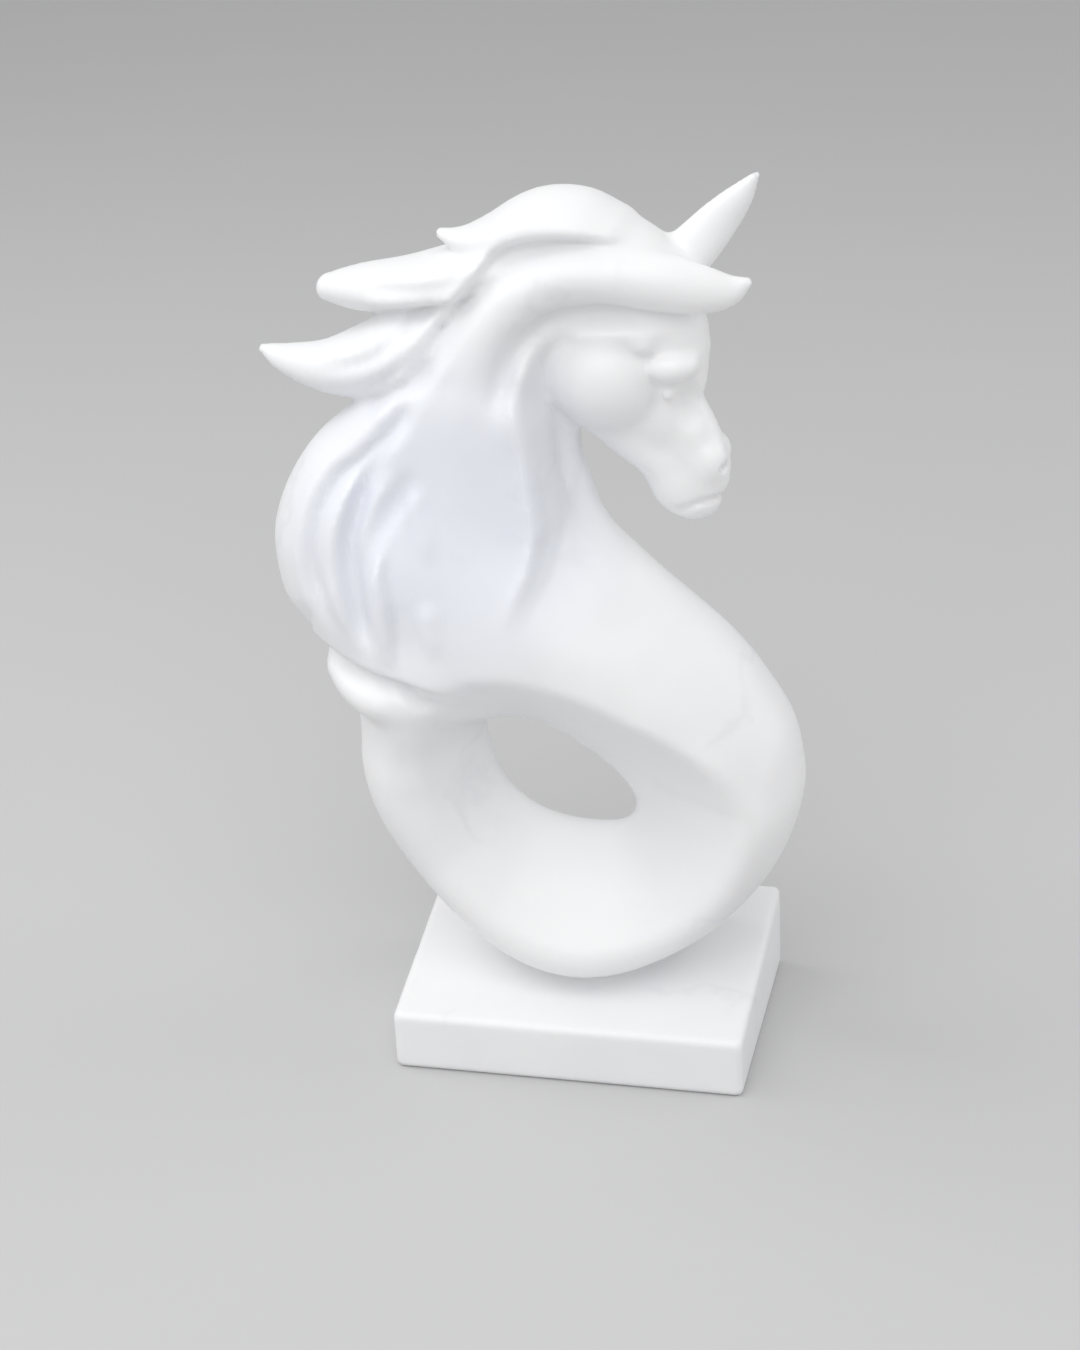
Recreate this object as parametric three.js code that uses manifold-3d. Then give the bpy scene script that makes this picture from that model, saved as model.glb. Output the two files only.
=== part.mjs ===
// A horse's head and neck rising from an open ring, carved with its plinth from one block of white stone.
// Millimetres, +Z up, +X the way the horse faces. The origin is the middle of the plinth's underside.
import * as THREE from "three";
import Module from "manifold-3d";

const wasm = await Module();
wasm.setup();

// ---- driving sizes ----
const HEIGHT = 400;
const PLINTH = { width: 159.5, depth: 118.5, front: 28, back: 42, shift: -0.8, splay: 4.5, bevel: 2.5 };
const RING = { x: -0.9, z: 139, radius: 100.6 };
// Swells of the ring, as bearing, spread and height: its foot, and a flatter flank.
const RING_SWELLS = [[-90, 28, 8], [-142, 22, -4]];
const STONE = { color: 0xf1f2f4, roughness: 0.38, metalness: 0 };

// The figure's outline on its middle plane, as x and z, after the ring's arc: chest, throat, head, crest, back.
const ARC = { from: -188, to: -6, steps: 20 };
const CHEST = [[97.8, 143], [95, 155], [90.5, 165], [84.5, 175], [76.5, 187], [65, 200], [51, 212.5],
  [35.5, 226.5], [21, 241], [12, 256], [7.5, 270]];
const HEAD_LINE = [[4.5, 283], [8, 296], [30, 318], [52, 335], [60, 352], [54, 363], [42, 374]];
const CREST = [[25.5, 384], [12, 391.5], [-4.5, 392], [-22.5, 385], [-34.5, 372.5], [-50, 353], [-66, 332],
  [-82, 311]];
const BACK = [[-97, 297], [-112, 284], [-123, 269], [-129.5, 255], [-132.3, 243], [-132, 229], [-129, 215],
  [-121.5, 204], [-112.5, 192], [-103, 177]];

// Stations of the body: x, z, half thickness, and how far in from the outline the edge is rounded.
const STATIONS = [[-80, 222, 51, 44], [-62, 184, 52, 40], [-108, 158, 50, 48], [-100, 110, 52, 46],
  [-80, 60, 54, 46], [-4, 33, 56, 46], [60, 60, 54, 46], [94, 110, 52, 46], [94, 146, 50, 48],
  [-112, 246, 47, 38], [-30, 190, 50, 50], [4, 186, 48, 54], [44, 170, 47, 56], [76, 146, 48, 54],
  [-12, 268, 37, 26], [-30, 300, 38, 26], [-20, 330, 33, 24], [4, 372, 26, 22], [-50, 340, 33, 24],
  [-90, 296, 40, 30], [40, 350, 24, 20], [24, 228, 42, 50], [56, 196, 46, 54], [4, 320, 21, 18]];

// The opening through the ring: its edge at mid depth. Its sides flare to both faces, as a bearing round its
// centre in degrees, a slope, and how softly the flare meets the face there.
const HOLE = [[-43.5, 151], [-27, 153], [-14, 149], [0, 141], [13, 130.5], [21.5, 119.5], [23, 111],
  [17.5, 104.5], [6, 102.5], [-8, 103.5], [-21, 107.5], [-33, 116], [-40, 127.5], [-43, 139.5]];
const HOLE_CENTRE = [-10, 127];
const FLARE = [[-90, 0.8, 12], [-45, 0.7, 10], [0, 0.62, 8], [15, 0.7, 6], [32, 0.82, 4], [50, 0.94, 3],
  [70, 1.02, 3], [92, 1.12, 3], [115, 1.2, 3], [130, 1.5, 6], [150, 1.9, 12], [180, 1.5, 18],
  [215, 1.1, 18], [245, 0.9, 14], [270, 0.8, 12]];
const FLARE_EDGE = 5;
const FLARE_TOP = 250;
const SOFTEST_RIDGE = 5;

// Lines of the mane on the faces, as x and z.
const LINES = {
  roll: [[44, 371.5], [33, 374.6], [25, 376.4], [16, 377.8], [6, 377.8], [-4, 377], [-13, 375.5],
    [-21, 372], [-28, 365], [-34, 357], [-41, 348.5], [-49, 338], [-56, 327], [-65, 318]],
  valley: [[36, 370.5], [25.5, 372], [16.7, 373.5], [7, 373.5], [-3, 372], [-13, 369.5], [-20, 364],
    [-26, 356], [-34, 348.5], [-40.7, 341.7], [-47, 333], [-53, 325], [-58, 316], [-62, 308]],
  rim: [[-58, 314], [-62, 307], [-66, 301], [-73, 293], [-83, 284], [-92, 277], [-98, 269], [-102, 260],
    [-104, 249], [-104.5, 239], [-103, 229], [-101, 221], [-95, 210]],
  band: [[60, 351], [40, 351.5], [23.5, 352.3], [7.7, 350.7], [-1.6, 349.1], [-9.2, 345.3], [-16.8, 338.1],
    [-21.9, 328.4], [-25, 318.4], [-26.1, 309.4], [-26.5, 298]],
  strand: [[-9, 334], [-13, 323], [-14.5, 313], [-13, 305], [-11, 298], [-9.5, 287], [-8.5, 277],
    [-7.5, 266], [-6.5, 256], [-7.9, 246.5], [-10.3, 237.6], [-14.3, 228.8], [-18.1, 220.2], [-24, 211]],
  fold: [[-112, 203], [-102, 199], [-93, 195.5], [-86, 194.5], [-78, 193], [-71, 192], [-66, 191],
    [-58, 188], [-50, 185.5], [-43, 184]],
};

// Steps stand proud on one side of a line (+1 the left of travel) and dip on the other.
// Bars are rounded ridges, or grooves where the height is negative. Both are moved to the left by shift.
const STEPS = [
  {
    line: "roll", shift: 0, side: -1, proud: [1, 12], dip: [1.8, 12],
    soft: 4, ends: [0.3, 0.12],
  },
  {
    line: "band", shift: 0, side: -1, proud: [0.7, 12], dip: [2.8, 16],
    soft: 4, ends: [0.02, 0.45],
  },
  {
    line: "strand", shift: 0, side: -1, proud: [1, 8], dip: [5.6, 34],
    soft: 4, ends: [0.4, 0.35],
  },
  {
    line: "fold", shift: 0, side: 1, proud: [1.4, 20], dip: [2.8, 12],
    soft: 4, ends: [0.01, 0.3],
  },
  {
    line: "rim", shift: -2, side: -1, proud: [1, 10], dip: [1.4, 8],
    soft: 4, ends: [0.2, 0.2],
  },
];
const BARS = [
  { line: "valley", shift: 0, width: 9, height: -3.1, ends: [0.35, 0.15] },
  { line: "rim", shift: 0, width: 9, height: -2.8, ends: [0.15, 0.2] },
  { line: "band", shift: 5, width: 9, height: -4.9, ends: [0.03, 0.45] },
  { line: "strand", shift: 1, width: 9, height: 2.8, ends: [0.1, 0.25] },
];
const FAR_SIDE = 0.6; // the far face carries the same carving, shallower

// Swept masses: x, y, z of the middle line, the half size in the plane of the outline, and across it.
const SWEEPS = {
  lobe: [[-101, 0, 185, 10.5, 35], [-91, 0, 181.5, 16, 46], [-79, 0, 178, 18.5, 53],
    [-66, 0, 175, 17.5, 49], [-54, 0, 172, 15, 37], [-43, 0, 166, 10, 23]],
  lowLock: [[-40, 0, 325, 18, 32], [-62, 0, 324.5, 20, 30], [-84, 0, 318, 15.8, 24],
    [-104, 0, 314.7, 11, 16], [-122, 0, 317.2, 6.4, 9], [-133, 0, 321.5, 3.2, 3.6]],
  midLock: [[-22, 0, 363, 11, 29], [-45, 0, 357, 11, 27], [-66, 0, 351.5, 11, 22],
    [-86, 0, 349.8, 9.4, 16], [-100.5, 0, 349.3, 6, 8]],
  topLock: [[22, 0, 376, 8, 23], [8, 0, 380.5, 9.5, 26], [-8, 0, 381, 10, 26], [-24, -2, 375, 8.5, 21],
    [-36, -5, 372.3, 6, 13], [-43, -6, 373, 4, 7], [-49, -6, 375, 3.2, 3.6]],
  forelock: [[-38, -19, 288, 7, 10], [-35, -22, 308, 10, 13], [-30, -23, 330, 10.5, 13],
    [-16, -23, 351, 10.5, 13], [4, -20, 361, 10.5, 13], [24, -19, 362, 11, 13], [44, -17, 359, 11.5, 12],
    [59, -14, 355.5, 10, 10], [70, -10, 354, 6.5, 7], [78, -8, 357, 3.2, 4]],
  ear: [[44, 8, 357, 11.5, 9], [55, 8, 368, 10, 8], [65, 7, 379.2, 8.2, 6.5], [73.5, 5, 388.8, 5.4, 5],
    [80.5, 3, 398, 3.2, 3.6]],
  face: [[22, 0, 341, 18, 17], [39.5, 0, 335, 20, 18], [44.5, 0, 319, 15.5, 16], [45.5, 0, 304, 12.3, 13],
    [51, 0, 289, 13.2, 12], [55.2, 0, 275, 13.4, 12], [50.5, 0, 263.7, 14.6, 11.5]],
  jaw: [[12, 0, 304, 11, 14], [25, 0, 291, 11, 13], [37, 0, 280, 10, 12], [45, 0, 270, 10.5, 11]],
};

// Rounded masses of the head: centre, half sizes, tilt in degrees, and how softly each one joins.
// Those off the middle are on both sides.
const CHEEK = { at: [19.5, 0, 317], half: [25, 29.5, 26.5], tilt: 0, blend: 2 };
const JAW_MUSCLE = { at: [36, 0, 298], half: [13, 13.5, 14], tilt: 0, blend: 6 };
const NOSTRIL = { at: [61.5, 6.5, 279], half: [6, 6, 8], tilt: -15, blend: 4 };
const BROW = { at: [47, 11.5, 323], half: [11.5, 11.5, 7.5], tilt: 3, blend: 2 };
const BROW_KNOB = { at: [36.5, 15, 333.5], half: [5.5, 7.5, 5], tilt: 0, blend: 2 };
const UNDER_BROW = { at: [56, 15, 305], half: [8, 9, 11], tilt: 0, blend: 3 };

// ---- curves and blends ----
const clamp01 = (value) => Math.min(Math.max(value, 0), 1);
const ease = (value) => value * value * (3 - 2 * value);
const smoothStep = (from, to, value) => ease(clamp01((value - from) / (to - from)));

function smoothMin(a, b, blend) {
  const share = Math.max(blend - Math.abs(a - b), 0) / blend;
  return Math.min(a, b) - share * share * blend * 0.25;
}

const smoothMax = (a, b, blend) => -smoothMin(-a, -b, blend);

// A smooth line through rows of numbers, with the given number of steps between two rows.
function spline(rows, steps, closed) {
  const line = [];
  const count = rows.length;
  const spans = closed ? count : count - 1;
  const extend = (row, next) => row.map((value, k) => 2 * value - next[k]);
  for (let i = 0; i < spans; i++) {
    const b = rows[i];
    const c = rows[(i + 1) % count];
    const a = closed || i > 0 ? rows[(i + count - 1) % count] : extend(b, c);
    const d = closed || i + 2 < count ? rows[(i + 2) % count] : extend(c, b);
    for (let s = 0; s < steps; s++) {
      const t = s / steps;
      line.push(b.map((_, k) => 0.5 * (2 * b[k] + (c[k] - a[k]) * t
        + (2 * a[k] - 5 * b[k] + 4 * c[k] - d[k]) * t * t
        + (3 * b[k] - a[k] - 3 * c[k] + d[k]) * t * t * t)));
    }
  }
  if (!closed) line.push(rows[count - 1]);
  return line;
}

// The nearest place on a line: distance, share of the way along, and side (+1 left of travel, -1 right).
function nearest(x, z, line, closed) {
  const spans = closed ? line.length : line.length - 1;
  let best = { square: Infinity, share: 0, side: 1 };
  for (let i = 0; i < spans; i++) {
    const [ax, az] = line[i];
    const [bx, bz] = line[(i + 1) % line.length];
    const ux = bx - ax;
    const uz = bz - az;
    const t = clamp01(((x - ax) * ux + (z - az) * uz) / (ux * ux + uz * uz));
    const dx = x - ax - t * ux;
    const dz = z - az - t * uz;
    const square = dx * dx + dz * dz;
    if (square < best.square) {
      best = { square, share: (i + t) / spans, side: Math.sign(ux * dz - uz * dx) };
    }
  }
  return { distance: Math.sqrt(best.square), share: best.share, side: best.side };
}

function isInside(x, z, loop) {
  let inside = false;
  for (let i = 0; i < loop.length; i++) {
    const [ax, az] = loop[i];
    const [bx, bz] = loop[(i + 1) % loop.length];
    if ((az > z) !== (bz > z) && x < ((bx - ax) * (z - az)) / (bz - az) + ax) inside = !inside;
  }
  return inside;
}

function signedDistance(x, z, loop) {
  const { distance } = nearest(x, z, loop, true);
  return isInside(x, z, loop) ? distance : -distance;
}

// ---- the body: an outline swollen to both sides ----
// The ring is a circle with a few swells.
function ringPoint(_, i) {
  const bearing = ARC.from + ((ARC.to - ARC.from) * i) / ARC.steps;
  let radius = RING.radius;
  for (const [at, spread, height] of RING_SWELLS) radius += height * Math.exp(-(((bearing - at) / spread) ** 2));
  const angle = THREE.MathUtils.degToRad(bearing);
  return [RING.x + radius * Math.cos(angle), RING.z + radius * Math.sin(angle)];
}

// The line moved to the left of its travel.
function shifted(rows, by) {
  return rows.map(([x, z], i) => {
    const [ax, az] = rows[Math.max(i - 1, 0)];
    const [bx, bz] = rows[Math.min(i + 1, rows.length - 1)];
    const length = Math.hypot(bx - ax, bz - az);
    return [x - (by * (bz - az)) / length, z + (by * (bx - ax)) / length];
  });
}

const ringArc = Array.from({ length: ARC.steps + 1 }, ringPoint);
const outline = spline([...ringArc, ...CHEST, ...HEAD_LINE, ...CREST, ...BACK], 3, true);
const holeLine = spline(HOLE, 4, true);
const pathOf = ({ line, shift }) => spline(shifted(LINES[line], shift), 3, false);
const withPath = (feature) => ({ ...feature, path: pathOf(feature) });
const steps = STEPS.map(withPath);
const bars = BARS.map(withPath);

function station(x, z) {
  const spread = 900;
  let total = 0;
  let thickness = 0;
  let rounding = 0;
  for (const [sx, sz, half, edge] of STATIONS) {
    const weight = 1 / (((x - sx) ** 2 + (z - sz) ** 2) / spread + 0.02) ** 1.6;
    total += weight;
    thickness += weight * half;
    rounding += weight * edge;
  }
  return [thickness / total, rounding / total];
}

// Fades in over the first share of a line and out over its last share.
const taper = (share, [start, end]) => smoothStep(0, start, share) * smoothStep(0, end, 1 - share);

function stepHeight(x, z, { path, side, proud, dip, soft, ends }) {
  const place = nearest(x, z, path, false);
  const across = place.distance * place.side * side;
  const up = proud[0] * (1 - smoothStep(0, proud[1], across));
  const down = -dip[0] * (1 - smoothStep(0, dip[1], -across));
  const mix = smoothStep(-soft, soft, across);
  return (up * mix + down * (1 - mix)) * taper(place.share, ends);
}

function barHeight(x, z, { path, width, height, ends }) {
  const place = nearest(x, z, path, false);
  const bell = Math.max(1 - (place.distance / width) ** 2, 0) ** 2;
  return height * bell * taper(place.share, ends);
}

function relief(x, z) {
  const stepped = steps.reduce((sum, step) => sum + stepHeight(x, z, step), 0);
  return bars.reduce((sum, bar) => sum + barHeight(x, z, bar), stepped);
}

// Everything that depends on x and z alone is worked out once for each place.
const places = new Map();

function placeAt(x, z) {
  const key = `${x.toFixed(3)},${z.toFixed(3)}`;
  if (!places.has(key)) {
    const [half, edge] = station(x, z);
    const inward = Math.min(signedDistance(x, z, outline) / edge, 1);
    const bearing = THREE.MathUtils.radToDeg(Math.atan2(z - HOLE_CENTRE[1], x - HOLE_CENTRE[0]));
    const turn = THREE.MathUtils.euclideanModulo(bearing + 90, 360) - 90;
    const next = FLARE.findIndex(([angle]) => angle > turn);
    const [from, slopeFrom, softFrom] = FLARE[next - 1];
    const [to, slopeTo, softTo] = FLARE[next];
    const share = (turn - from) / (to - from);
    places.set(key, {
      square: half * half * (1 - (1 - inward) ** 2),
      steepness: (2 * half * half) / edge,
      slope: slopeFrom + (slopeTo - slopeFrom) * share,
      softness: Math.max(softFrom + (softTo - softFrom) * share, SOFTEST_RIDGE),
      fromHole: -signedDistance(x, z, holeLine),
      carving: relief(x, z),
      inward,
    });
  }
  return places.get(key);
}

function body(x, y, z) {
  const place = placeAt(x, z);
  const across = place.steepness * Math.max(1 - place.inward, 0);
  const swollen = (y * y - place.square) / Math.sqrt(4 * y * y + across * across + 60);
  if (z > FLARE_TOP) return swollen;
  const depth = Math.hypot(y, FLARE_EDGE) - FLARE_EDGE;
  const flare = (depth - place.slope * place.fromHole) / Math.hypot(1, place.slope);
  return smoothMax(swollen, flare, place.softness);
}

// How far the lines of the mane stand out from the faces, or dip into them.
function carved(x, y, z) {
  const part = smoothStep(2, 12, -y) + FAR_SIDE * smoothStep(2, 12, y);
  return placeAt(x, z).carving * part;
}

// ---- swept and rounded masses ----
// Signed distance to an ellipsoid of the given half sizes, good near its surface.
function roundDistance(u, v, w, a, b, c) {
  const near = Math.hypot(u / a, v / b, w / c) + 1e-9;
  const far = Math.hypot(u / (a * a), v / (b * b), w / (c * c)) + 1e-12;
  return (near * (near - 1)) / far;
}

function makeSweep(rows) {
  const line = spline(rows, 3, false);
  const reach = Math.max(...rows.map((row) => Math.max(row[3], row[4]))) + 12;
  const box = new THREE.Box3().setFromPoints(rows.map((row) => new THREE.Vector3(...row))).expandByScalar(reach);
  const spans = line.slice(1).map((end, i) => {
    const start = line[i];
    const along = new THREE.Vector3(end[0] - start[0], end[1] - start[1], end[2] - start[2]);
    const length = along.length();
    along.divideScalar(length);
    const across = new THREE.Vector3(0, 1, 0);
    across.addScaledVector(along, -along.y).normalize();
    const up = new THREE.Vector3().crossVectors(across, along);
    return { start, end, length, along, across, up };
  });
  return { box, spans };
}

function sweepDistance(sweep, point) {
  if (!sweep.box.containsPoint(point)) return Infinity;
  let best = Infinity;
  for (const { start, end, length, along, across, up } of sweep.spans) {
    const from = new THREE.Vector3(point.x - start[0], point.y - start[1], point.z - start[2]);
    const share = from.dot(along) / length;
    const t = clamp01(share);
    const inPlane = start[3] + (end[3] - start[3]) * t;
    const wide = start[4] + (end[4] - start[4]) * t;
    const past = (share - t) * length;
    const distance = roundDistance(from.dot(up), from.dot(across), past, inPlane, wide, Math.min(inPlane, wide));
    best = Math.min(best, distance);
  }
  return best;
}

function massDistance({ at, half, tilt }, point) {
  const angle = THREE.MathUtils.degToRad(tilt);
  const dx = point.x - at[0];
  const dy = Math.abs(point.y) - at[1];
  const dz = point.z - at[2];
  const u = dx * Math.cos(angle) + dz * Math.sin(angle);
  const w = dz * Math.cos(angle) - dx * Math.sin(angle);
  return roundDistance(u, dy, w, ...half);
}

const sweeps = Object.fromEntries(Object.entries(SWEEPS).map(([name, rows]) => [name, makeSweep(rows)]));
const headBox = new THREE.Box3(new THREE.Vector3(-15, -45, 235), new THREE.Vector3(95, 45, HEIGHT));

function head(point) {
  if (!headBox.containsPoint(point)) return Infinity;
  let distance = smoothMin(sweepDistance(sweeps.face, point), massDistance(CHEEK, point), CHEEK.blend);
  distance = smoothMin(distance, sweepDistance(sweeps.jaw, point), 6);
  for (const mass of [JAW_MUSCLE, NOSTRIL, BROW, BROW_KNOB]) {
    distance = smoothMin(distance, massDistance(mass, point), mass.blend);
  }
  return smoothMax(distance, -massDistance(UNDER_BROW, point), UNDER_BROW.blend);
}

// The whole figure without its plinth: negative inside, zero on the surface.
function figure(x, y, z) {
  const point = new THREE.Vector3(x, y, z);
  let distance = body(x, y, z);
  for (const [name, blend] of [["lobe", 4], ["lowLock", 5], ["midLock", 5], ["topLock", 4]]) {
    distance = smoothMin(distance, sweepDistance(sweeps[name], point), blend);
  }
  distance -= carved(x, y, z);
  distance = smoothMin(distance, head(point), 4);
  distance = smoothMin(distance, sweepDistance(sweeps.forelock, point), 5);
  return smoothMin(distance, sweepDistance(sweeps.ear, point), 4);
}

// ---- the surface, on a grid that is finer at the head ----
function ruler(stops) {
  const marks = [stops[0][0]];
  for (let i = 1; i < stops.length; i++) {
    const [end, size] = stops[i];
    const start = marks[marks.length - 1];
    const count = Math.ceil((end - start) / size);
    for (let k = 1; k <= count; k++) marks.push(start + ((end - start) * k) / count);
  }
  return marks;
}

const GRID_X = ruler([[-144], [-8, 8.5], [84, 6.6], [110, 7.2]]);
const GRID_Y = ruler([[-66], [-30, 9], [-12, 7], [14, 5.4], [30, 7], [66, 9]]);
const GRID_Z = ruler([[20], [244, 10.2], [384, 6.4], [406, 3.8]]);
const CORNERS = [[0, 0, 0], [1, 0, 0], [0, 1, 0], [1, 1, 0], [0, 0, 1], [1, 0, 1], [0, 1, 1], [1, 1, 1]];
const CELL_EDGES = [[0, 1], [0, 2], [0, 4], [1, 3], [1, 5], [2, 3], [2, 6], [3, 7], [4, 5], [4, 6], [5, 7], [6, 7]];

const GRID_SIZES = [GRID_X.length, GRID_Y.length, GRID_Z.length];
const gridIndex = (i, j, k) => (i * GRID_Y.length + j) * GRID_Z.length + k;

function sampleGrid() {
  const values = new Float64Array(GRID_X.length * GRID_Y.length * GRID_Z.length);
  GRID_X.forEach((x, i) => GRID_Y.forEach((y, j) => GRID_Z.forEach((z, k) => {
    values[gridIndex(i, j, k)] = figure(x, y, z);
  })));
  while (clearCheckers(values) > 0);
  return (i, j, k) => values[gridIndex(i, j, k)];
}

// Where a grid square's corners are solid and empty in turn, the surface would touch itself along an edge.
// The weaker empty corner becomes solid there.
function clearCheckers(values) {
  let changed = 0;
  for (let axis = 0; axis < 3; axis++) {
    const second = (axis + 1) % 3;
    const third = (axis + 2) % 3;
    const cell = [0, 0, 0];
    for (cell[axis] = 0; cell[axis] < GRID_SIZES[axis]; cell[axis]++) {
      for (cell[second] = 0; cell[second] < GRID_SIZES[second] - 1; cell[second]++) {
        for (cell[third] = 0; cell[third] < GRID_SIZES[third] - 1; cell[third]++) {
          const square = [[0, 0], [1, 0], [1, 1], [0, 1]].map(([onSecond, onThird]) => {
            const corner = [...cell];
            corner[second] += onSecond;
            corner[third] += onThird;
            return gridIndex(...corner);
          });
          const [a, b, c, d] = square.map((corner) => values[corner] < 0);
          if (a !== c || b !== d || a === b) continue;
          const empty = square.filter((corner) => values[corner] >= 0);
          const weaker = values[empty[0]] < values[empty[1]] ? empty[0] : empty[1];
          values[weaker] = -Math.max(values[weaker], 1e-6);
          changed += 1;
        }
      }
    }
  }
  return changed;
}

// Moves a point along the steepest way until it lies on the surface.
function settle(point) {
  const reach = 1;
  for (let round = 0; round < 2; round++) {
    const { x, y, z } = point;
    const slope = new THREE.Vector3(
      figure(x + reach, y, z) - figure(x - reach, y, z),
      figure(x, y + reach, z) - figure(x, y - reach, z),
      figure(x, y, z + reach) - figure(x, y, z - reach),
    ).divideScalar(2 * reach);
    const move = slope.multiplyScalar(-figure(x, y, z) / Math.max(slope.lengthSq(), 0.2));
    point.add(move.clampLength(0, 0.8));
  }
}

// One point in each cell that the surface crosses, and a quad round each grid edge that it cuts.
function carve() {
  const at = sampleGrid();
  const points = [];
  const cells = new Map();
  const cellKey = (i, j, k) => (i * 1000 + j) * 1000 + k;
  const gridPoint = (i, j, k) => new THREE.Vector3(GRID_X[i], GRID_Y[j], GRID_Z[k]);
  for (let i = 0; i < GRID_X.length - 1; i++) {
    for (let j = 0; j < GRID_Y.length - 1; j++) {
      for (let k = 0; k < GRID_Z.length - 1; k++) {
        const middle = new THREE.Vector3();
        let crossings = 0;
        for (const [from, to] of CELL_EDGES) {
          const a = CORNERS[from];
          const b = CORNERS[to];
          const va = at(i + a[0], j + a[1], k + a[2]);
          const vb = at(i + b[0], j + b[1], k + b[2]);
          if ((va < 0) === (vb < 0)) continue;
          const start = gridPoint(i + a[0], j + a[1], k + a[2]);
          middle.add(start.lerp(gridPoint(i + b[0], j + b[1], k + b[2]), va / (va - vb)));
          crossings += 1;
        }
        if (crossings === 0) continue;
        cells.set(cellKey(i, j, k), points.length);
        points.push(middle.divideScalar(crossings));
      }
    }
  }
  points.forEach(settle);
  const triangles = [];
  for (let axis = 0; axis < 3; axis++) {
    const second = (axis + 1) % 3;
    const third = (axis + 2) % 3;
    const cell = [0, 0, 0];
    for (cell[axis] = 0; cell[axis] < GRID_SIZES[axis] - 1; cell[axis]++) {
      for (cell[second] = 1; cell[second] < GRID_SIZES[second] - 1; cell[second]++) {
        for (cell[third] = 1; cell[third] < GRID_SIZES[third] - 1; cell[third]++) {
          const next = [...cell];
          next[axis] += 1;
          const solid = at(...cell) < 0;
          if (solid === at(...next) < 0) continue;
          const ring = [[1, 1], [0, 1], [0, 0], [1, 0]].map(([backSecond, backThird]) => {
            const place = [...cell];
            place[second] -= backSecond;
            place[third] -= backThird;
            return cells.get(cellKey(...place));
          });
          if (!solid) ring.reverse();
          const [a, b, c, d] = ring;
          const shortAC = points[a].distanceTo(points[c]) <= points[b].distanceTo(points[d]);
          triangles.push(...(shortAC ? [a, b, c, a, c, d] : [a, b, d, b, c, d]));
        }
      }
    }
  }
  return solidFrom(points, triangles);
}

function solidFrom(points, triangles) {
  const mesh = new wasm.Mesh({
    numProp: 3,
    vertProperties: Float32Array.from(points.flatMap((point) => point.toArray())),
    triVerts: Uint32Array.from(triangles),
  });
  return new wasm.Manifold(mesh);
}

// ---- the plinth: a slab whose top falls to the front, its edges eased ----
function plinth() {
  const { width, depth, front, back, shift, splay, bevel } = PLINTH;
  const topAt = (y) => front + (back - front) * (y / depth + 0.5);
  const splayAt = (y) => splay * (y / depth + 0.5);
  const levels = [
    { inset: bevel, height: () => 0 },
    { inset: 0, height: () => bevel },
    { inset: 0, height: (y) => topAt(y) - bevel },
    { inset: bevel, height: topAt },
  ];
  const points = levels.flatMap(({ inset, height }) => {
    const corners = [];
    for (const [sx, sy] of [[1, 1], [-1, 1], [-1, -1], [1, -1]]) {
      const x = shift + sx * (width / 2 - inset);
      const y = sy * (depth / 2 - inset);
      const cut = [[x, y - sy * bevel], [x - sx * bevel, y]];
      if (sx !== sy) cut.reverse();
      corners.push(...cut.map(([px, py]) => new THREE.Vector3(sx < 0 ? px - splayAt(py) : px, py, height(py))));
    }
    return corners;
  });
  const sides = 8;
  const triangles = [];
  for (let level = 0; level < levels.length - 1; level++) {
    for (let i = 0; i < sides; i++) {
      const a = level * sides + i;
      const b = level * sides + ((i + 1) % sides);
      triangles.push(a, b, b + sides, a, b + sides, a + sides);
    }
  }
  const top = (levels.length - 1) * sides;
  for (let i = 1; i < sides - 1; i++) {
    triangles.push(0, i + 1, i);
    triangles.push(top, top + i, top + i + 1);
  }
  return solidFrom(points, triangles);
}

// ---- the sculpture ----
function toGeometry(solid) {
  const mesh = solid.getMesh();
  const geometry = new THREE.BufferGeometry();
  geometry.setAttribute("position", new THREE.BufferAttribute(new Float32Array(mesh.vertProperties), 3));
  geometry.setIndex(new THREE.BufferAttribute(new Uint32Array(mesh.triVerts), 1));
  geometry.computeVertexNormals();
  return geometry;
}

const stone = new THREE.MeshStandardMaterial(STONE);
const sculpture = new THREE.Mesh(toGeometry(carve().add(plinth())), stone);
sculpture.name = "horse_sculpture";

const group = new THREE.Group();
group.add(sculpture);

export default group;
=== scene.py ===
"""A horse's head and neck rising from an open ring, carved with its plinth from one block of white marble.

The form is worked out in millimetres in the frame of the CAD part and becomes a mesh in metres.
"""

import bpy
import numpy as np
from mathutils import Matrix, Vector


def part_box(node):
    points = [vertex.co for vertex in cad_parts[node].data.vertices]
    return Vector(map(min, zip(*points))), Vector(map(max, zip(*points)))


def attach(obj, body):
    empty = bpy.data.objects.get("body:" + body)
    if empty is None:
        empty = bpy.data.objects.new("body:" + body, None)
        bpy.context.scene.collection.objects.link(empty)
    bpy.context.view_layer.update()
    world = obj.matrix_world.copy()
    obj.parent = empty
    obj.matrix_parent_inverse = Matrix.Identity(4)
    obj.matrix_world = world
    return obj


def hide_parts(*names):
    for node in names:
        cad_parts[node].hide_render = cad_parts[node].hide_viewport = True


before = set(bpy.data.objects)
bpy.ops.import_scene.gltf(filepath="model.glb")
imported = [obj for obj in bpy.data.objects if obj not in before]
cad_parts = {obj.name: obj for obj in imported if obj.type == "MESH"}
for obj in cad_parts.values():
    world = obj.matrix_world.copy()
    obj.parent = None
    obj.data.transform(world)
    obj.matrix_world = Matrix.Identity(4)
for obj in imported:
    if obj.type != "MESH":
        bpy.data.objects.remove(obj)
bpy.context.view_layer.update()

MM = 0.001
CAD_LOW, CAD_HIGH = (np.array(corner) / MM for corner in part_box("horse_sculpture"))
HEIGHT = 400.0

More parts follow.
